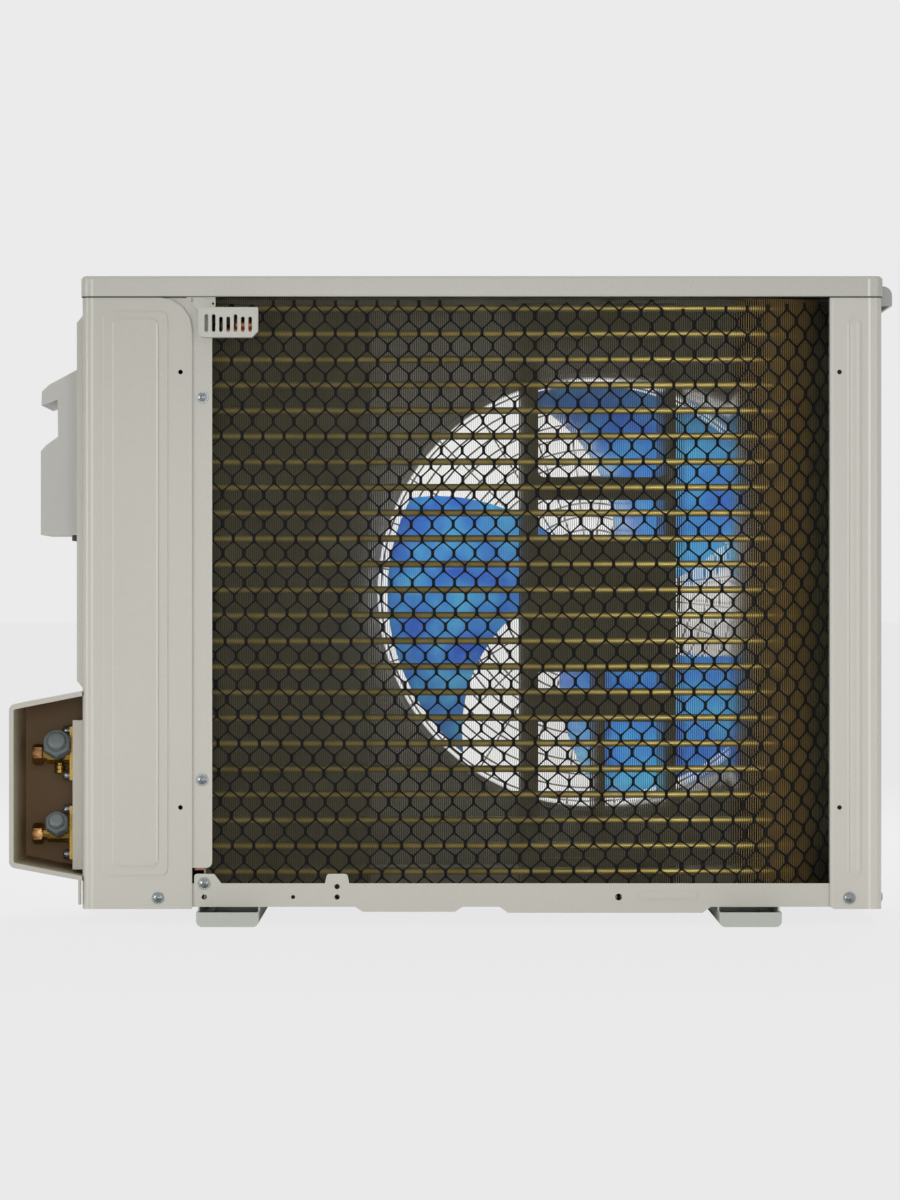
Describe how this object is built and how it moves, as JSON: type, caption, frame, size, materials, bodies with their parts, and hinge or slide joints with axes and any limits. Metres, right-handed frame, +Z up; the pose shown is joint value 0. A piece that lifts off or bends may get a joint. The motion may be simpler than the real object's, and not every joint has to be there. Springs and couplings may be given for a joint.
{
  "type": "air conditioner outdoor unit",
  "caption": "Outdoor condensing unit of a split air conditioner: steel casing on slotted foot rails, wrap-round coil behind a net, axial fan with guard, compressor and hooded service valves.",
  "frame": {"origin": "on the ground, midway between the four foot bolt slots", "axes": "+X to the right in the rear view, from the valves to the coil's bend; +Y from the rear with the coil to the front with the fan guard; +Z up"},
  "size_m": [0.8863, 0.354, 0.6505],
  "materials": {
    "casing_paint": "satin",
    "guard_paint": "satin",
    "foot_paint": "satin",
    "plate_paint": "satin",
    "cover_plastic": "satin",
    "grip_plastic": "satin",
    "holder_plastic": "satin",
    "galvanised_steel": "dull",
    "coil_fins": "coated",
    "copper_tube": "dull",
    "net_plastic": "matt",
    "fan_plastic": "glossy",
    "motor_paint": "satin",
    "bright_steel": "zinc plated",
    "compressor_paint": "satin",
    "mount_rubber": "matt",
    "terminal_plastic": "matt",
    "board_laminate": "satin",
    "capacitor_case": "satin",
    "valve_brass": "machined",
    "stem_cap_brass": "machined",
    "flare_cap_plastic": "satin"
  },
  "bodies": {
    "casing": {"top_cover": "casing_paint", "service_panel": "casing_paint", "coil_side_panel": "casing_paint", "front_panel": "casing_paint", "base_pan": "casing_paint", "valve_cover": "casing_paint", "fan_guard": "guard_paint", "guard_rim": "guard_paint", "foot_rail_left": "foot_paint", "foot_rail_right": "foot_paint", "valve_plate": "plate_paint", "terminal_cover": "cover_plastic", "side_handle": "grip_plastic", "sensor_holder": "holder_plastic", "partition_plate": "galvanised_steel", "motor_bracket": "galvanised_steel", "motor_mount_plate": "galvanised_steel", "electrical_box": "galvanised_steel", "coil_end_plate_left": "galvanised_steel", "coil_end_plate_front": "galvanised_steel", "coil_core": "coil_fins", "coil_return_bends": "copper_tube", "discharge_pipe": "copper_tube", "suction_pipe": "copper_tube", "liquid_pipe": "copper_tube", "ambient_sensor": "copper_tube", "coil_net": "net_plastic", "fan_motor": "motor_paint", "panel_screws": "bright_steel", "compressor_nuts": "bright_steel", "compressor": "compressor_paint", "accumulator": "compressor_paint", "compressor_grommets": "mount_rubber", "compressor_terminal_cover": "terminal_plastic", "terminal_block": "terminal_plastic", "cable_clamp": "terminal_plastic", "control_board": "board_laminate", "run_capacitor": "capacitor_case", "gas_valve": "valve_brass", "liquid_valve": "valve_brass", "service_port_cap": "valve_brass", "gas_stem_cap": "stem_cap_brass", "liquid_stem_cap": "stem_cap_brass", "gas_flare_cap": "flare_cap_plastic", "liquid_flare_cap": "flare_cap_plastic"},
    "fan_rotor": {"propeller_fan": "fan_plastic", "fan_nut": "bright_steel", "motor_shaft": "bright_steel"},
    "gas_stem": {"gas_valve_stem": "bright_steel"},
    "liquid_stem": {"liquid_valve_stem": "bright_steel"}
  },
  "joints": [
    {"name": "fan_spin", "type": "hinge", "parent": "casing", "child": "fan_rotor", "pos_m": [0.112, 0, 0.3336], "axis": [0, 1, 0], "continuous": true},
    {"name": "gas_valve_stem_turn", "type": "hinge", "parent": "casing", "child": "gas_stem", "pos_m": [-0.44975, -0.085, 0.168], "axis": [-1, 0, 0], "range_deg": [0, 1440]},
    {"name": "liquid_valve_stem_turn", "type": "hinge", "parent": "casing", "child": "liquid_stem", "pos_m": [-0.44975, -0.085, 0.088], "axis": [-1, 0, 0], "range_deg": [0, 1440]}
  ]
}
